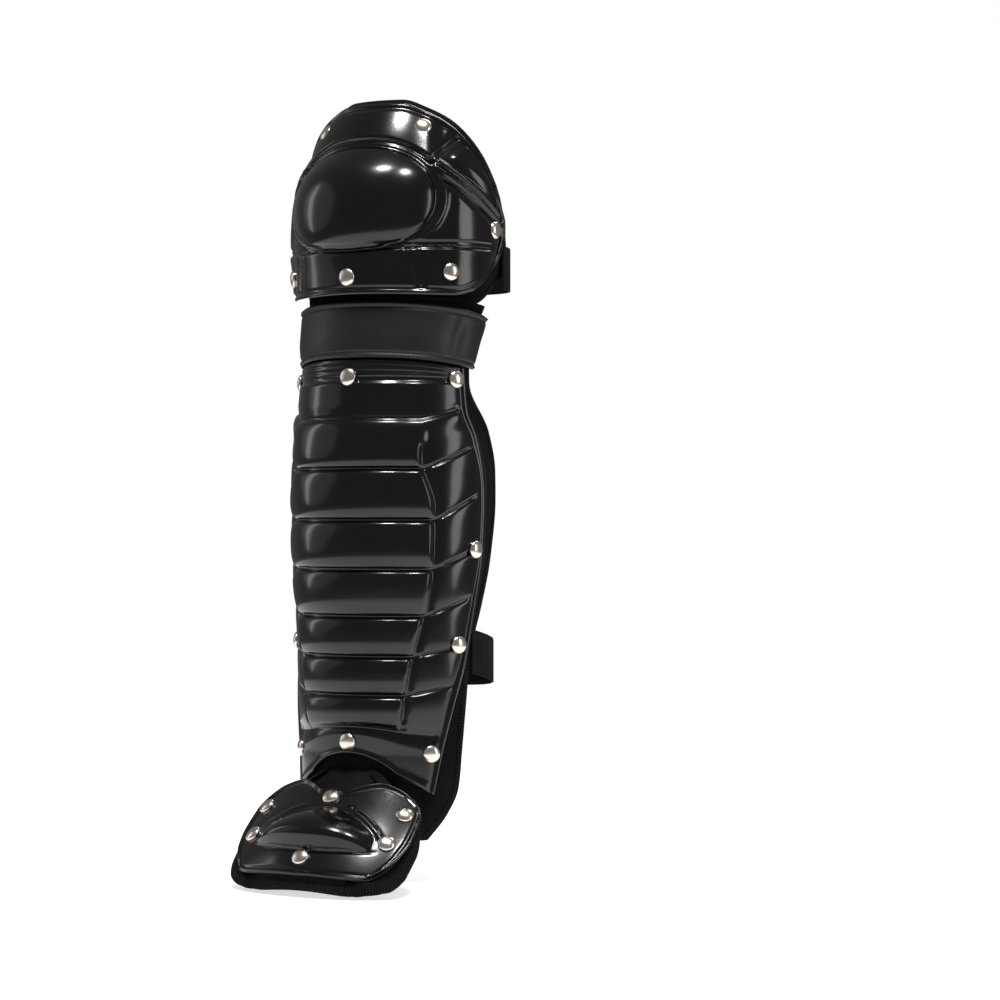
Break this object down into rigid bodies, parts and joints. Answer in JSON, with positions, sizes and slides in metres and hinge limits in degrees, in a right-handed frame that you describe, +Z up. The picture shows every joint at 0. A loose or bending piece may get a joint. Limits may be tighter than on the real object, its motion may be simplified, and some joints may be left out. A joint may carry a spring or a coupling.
{
  "type": "baseball catcher leg guard",
  "caption": "Catcher's leg guard: glossy knee cap, ribbed shin shell and hinged toe flap riveted to a soft liner, with a padded middle band and elastic straps.",
  "frame": {"origin": "on the leg's axis, level with the lower rim of the toe flap", "axes": "+Z up along the shin, the guard's front faces -Y, +X to the viewer's right from the front"},
  "size_m": [0.1598, 0.1988, 0.5342],
  "materials": {
    "shell": "glossy injection moulded",
    "vinyl": "matt padded vinyl",
    "liner_cloth": "black brushed cloth over foam",
    "pad_cloth": "black knit over foam with a ribbed binding",
    "webbing": "woven elastic",
    "clip": "plain moulded",
    "nickel": "nickel plated"
  },
  "bodies": {
    "root": {"calf_clip": "clip", "calf_strap": "webbing", "knee_clip": "clip", "knee_liner": "liner_cloth", "knee_rivet_1": "nickel", "knee_rivet_2": "nickel", "knee_rivet_3": "nickel", "knee_rivet_4": "nickel", "knee_rivet_5": "nickel", "knee_rivet_6": "nickel", "knee_rivet_7": "nickel", "knee_shell": "shell", "knee_strap": "webbing", "middle_band": "vinyl", "shin_liner": "liner_cloth", "shin_rivet_1": "nickel", "shin_rivet_10": "nickel", "shin_rivet_2": "nickel", "shin_rivet_3": "nickel", "shin_rivet_4": "nickel", "shin_rivet_5": "nickel", "shin_rivet_6": "nickel", "shin_rivet_7": "nickel", "shin_rivet_8": "nickel", "shin_rivet_9": "nickel", "shin_shell": "shell", "toe_pad": "pad_cloth", "toe_rivet_1": "nickel", "toe_rivet_2": "nickel", "toe_rivet_3": "nickel", "toe_rivet_4": "nickel", "toe_rivet_5": "nickel", "toe_rivet_6": "nickel", "toe_shell": "shell"}
  },
  "joints": []
}
